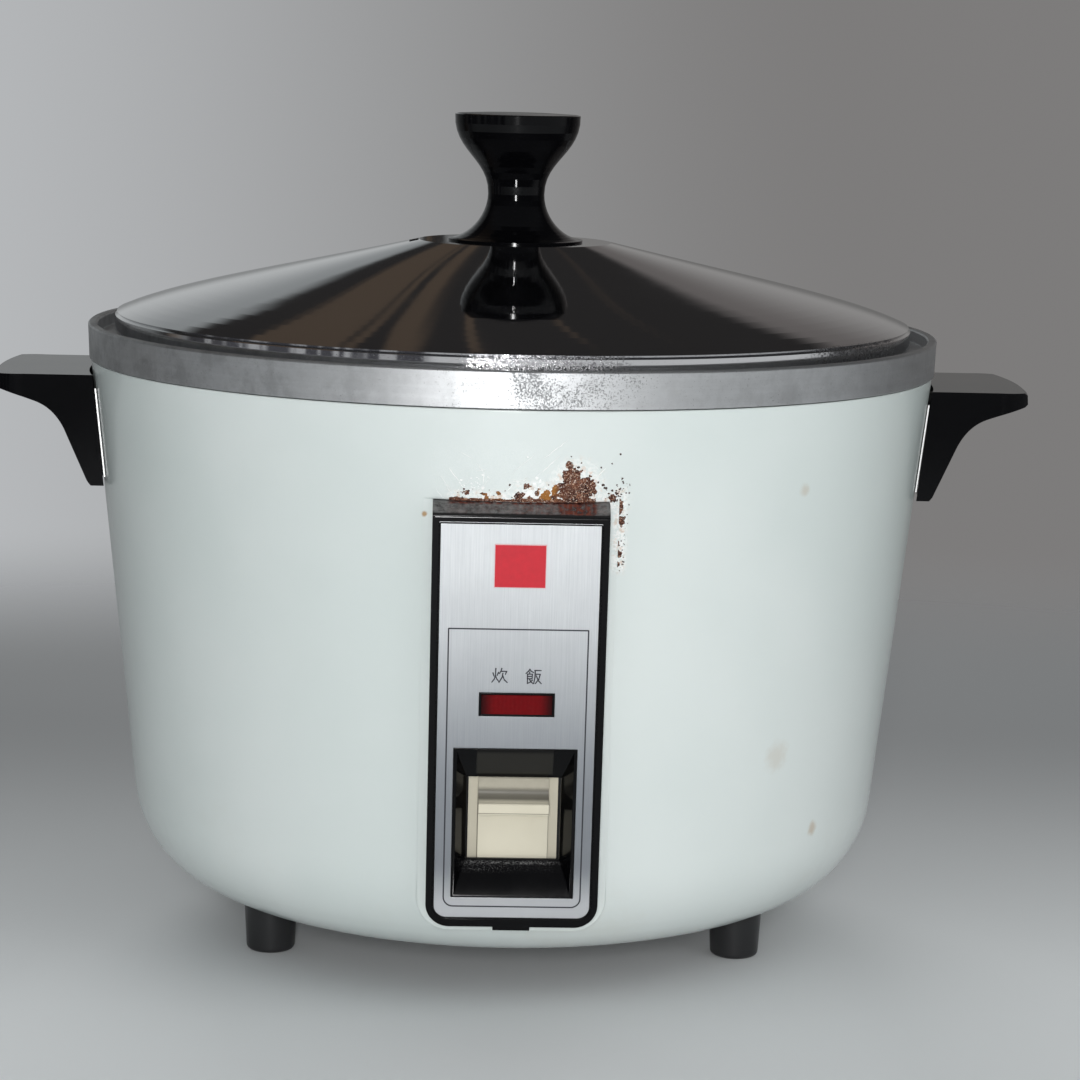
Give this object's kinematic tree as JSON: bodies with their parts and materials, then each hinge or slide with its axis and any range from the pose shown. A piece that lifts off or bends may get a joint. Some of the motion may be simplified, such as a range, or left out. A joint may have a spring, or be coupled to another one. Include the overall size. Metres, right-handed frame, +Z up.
{
  "type": "rice cooker",
  "caption": "Electric rice cooker: tapered enamelled body, lift-out aluminium pot, domed lid with knob, side handles and a push-down cooking switch",
  "frame": {"origin": "centre of the footprint on the surface that the feet stand on, on the axis of the body", "axes": "+X to the right across both handles, -Y towards the switch panel, +Z up"},
  "size_m": [0.336, 0.276, 0.2684],
  "materials": {
    "enamel": "glossy off-white stove enamel, chipped and rusted above the switch panel",
    "zinc_steel": "zinc plated sheet steel",
    "foot_black": "satin black moulded",
    "screw_steel": "plated",
    "gloss_black": "polished black phenolic moulding",
    "brushed_alloy": "brushed lengthways, clear anodised, fine printed line",
    "red_enamel": "red enamel with a pale keyline",
    "red_lens": "dark red translucent lens",
    "white_plastic": "plain",
    "lamp_glass": "clear neon lamp",
    "dark_plastic": "plain",
    "cream_plastic": "satin cream moulding",
    "cast_alloy": "machined casting",
    "element_sheath": "oxidised sheath",
    "white_ceramic": "unglazed",
    "sensor_metal": "drawn cup",
    "ferrite": "sintered",
    "brass_parts": "plain",
    "bakelite_brown": "moulded phenolic",
    "wire_sleeve": "braided glass sleeve",
    "pot_alloy": "spun aluminium, brushed round the collar band, slightly pitted",
    "polished_metal": "mirror polished, with fine specks along the edge band"
  },
  "bodies": {
    "base": {"outer_shell": "enamel", "bottom_plate": "zinc_steel", "foot_front_left": "foot_black", "foot_front_right": "foot_black", "foot_rear": "foot_black", "foot_screws": "screw_steel", "inner_liner": "zinc_steel", "handle_left": "gloss_black", "handle_right": "gloss_black", "handle_plates": "zinc_steel", "handle_screws": "screw_steel", "switch_bezel": "gloss_black", "face_plate": "brushed_alloy", "emblem_plate": "red_enamel", "lamp_lens": "red_lens", "lamp_holder": "white_plastic", "neon_lamp": "lamp_glass", "switch_guide": "dark_plastic", "bezel_nuts": "screw_steel", "heater_plate": "cast_alloy", "heating_element": "element_sheath", "heater_terminals": "white_ceramic", "heater_posts": "screw_steel", "post_screws": "screw_steel", "thermostat_frame": "zinc_steel", "sensor_spring": "screw_steel", "lever_bracket": "zinc_steel", "pivot_pin": "screw_steel", "return_spring": "screw_steel", "contact_block": "bakelite_brown", "fixed_contact": "brass_parts", "inlet_housing": "gloss_black", "inlet_pins": "screw_steel", "inlet_screws": "screw_steel", "thermal_fuse": "white_ceramic", "wiring": "wire_sleeve"},
    "pot": {"inner_pot": "pot_alloy"},
    "lid": {"lid": "polished_metal", "lid_knob": "gloss_black", "knob_washer": "screw_steel", "knob_screw": "screw_steel"},
    "sensor": {"sensor_cup": "sensor_metal", "ferrite_disc": "ferrite"},
    "magnet": {"magnet_disc": "ferrite", "magnet_rod": "brass_parts"},
    "lever": {"switch_lever": "brass_parts"},
    "button": {"switch_button": "cream_plastic"},
    "contact": {"moving_contact": "brass_parts"}
  },
  "joints": [
    {"name": "pot_lift", "type": "slide", "parent": "base", "child": "pot", "axis": [0, 0, 1], "range_m": [0, 0.15]},
    {"name": "lid_lift", "type": "slide", "parent": "pot", "child": "lid", "axis": [0, 0, 1], "range_m": [0, 0.08]},
    {"name": "sensor_press", "type": "slide", "parent": "base", "child": "sensor", "axis": [0, 0, 1], "range_m": [-0.0008, 0], "stiffness_N_per_m": 600, "springref_m": 0.002, "deforming": ["sensor_spring"]},
    {"name": "lever_tilt", "type": "hinge", "parent": "base", "child": "lever", "pos_m": [0, -0.035, 0.035], "axis": [1, 0, 0], "range_deg": [0, 6], "stiffness_Nm_per_rad": 0.25, "springref_deg": -8.59, "deforming": ["return_spring"]},
    {"name": "button_slide", "type": "slide", "parent": "base", "child": "button", "axis": [0, -0.1026, 0.9947], "range_m": [-0.0081, 0]},
    {"name": "magnet_lift", "type": "slide", "parent": "base", "child": "magnet", "axis": [0, 0, 1], "range_m": [0, 0.0037]},
    {"name": "contact_bend", "type": "hinge", "parent": "base", "child": "contact", "pos_m": [0.014, -0.052, 0.03565], "axis": [1, 0, 0], "range_deg": [0, 11]}
  ],
  "couplings": [
    {"joint": "button_slide", "follows": "lever_tilt", "m_per_rad": -0.0764},
    {"joint": "magnet_lift", "follows": "lever_tilt", "m_per_rad": 0.035},
    {"joint": "contact_bend", "follows": "lever_tilt", "ratio": 1.8}
  ]
}
